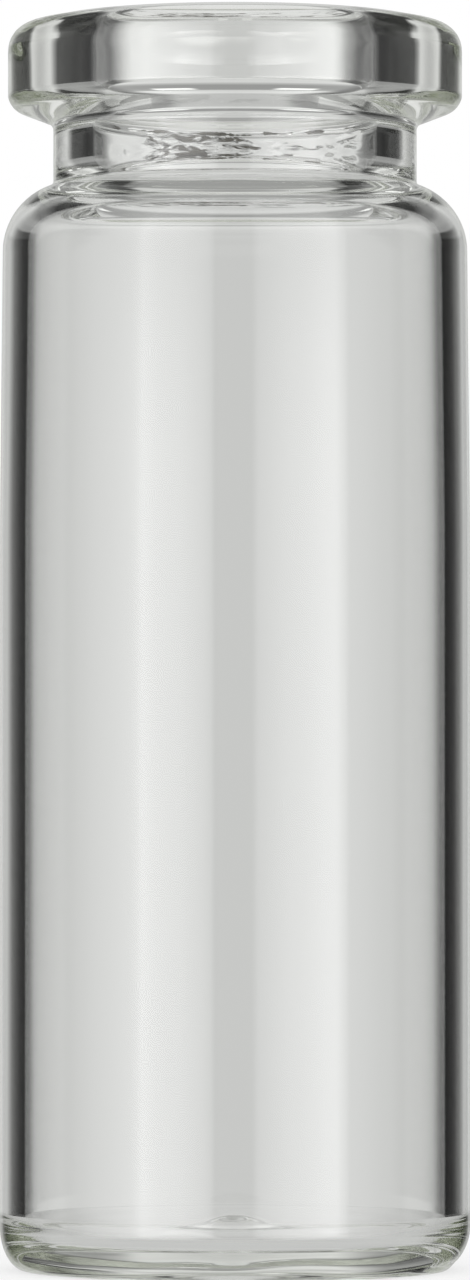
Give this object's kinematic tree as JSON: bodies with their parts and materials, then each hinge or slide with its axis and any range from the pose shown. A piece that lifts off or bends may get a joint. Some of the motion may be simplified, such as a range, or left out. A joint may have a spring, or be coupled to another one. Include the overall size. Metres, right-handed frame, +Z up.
{
  "type": "crimp-neck glass sample vial",
  "caption": "Clear glass sample vial with a straight barrel, short neck, rolled crimp flange and pushed-up base, open at the top for a stopper and a crimp cap.",
  "frame": {"origin": "centre of the ring that the vial stands on, on its axis", "axes": "+Z up the vial's axis, from the base towards the open mouth"},
  "size_m": [0.0205, 0.0204, 0.0545],
  "materials": {
    "clear_glass": "clear, fire-polished"
  },
  "bodies": {
    "root": {"vial": "clear_glass"}
  },
  "joints": []
}
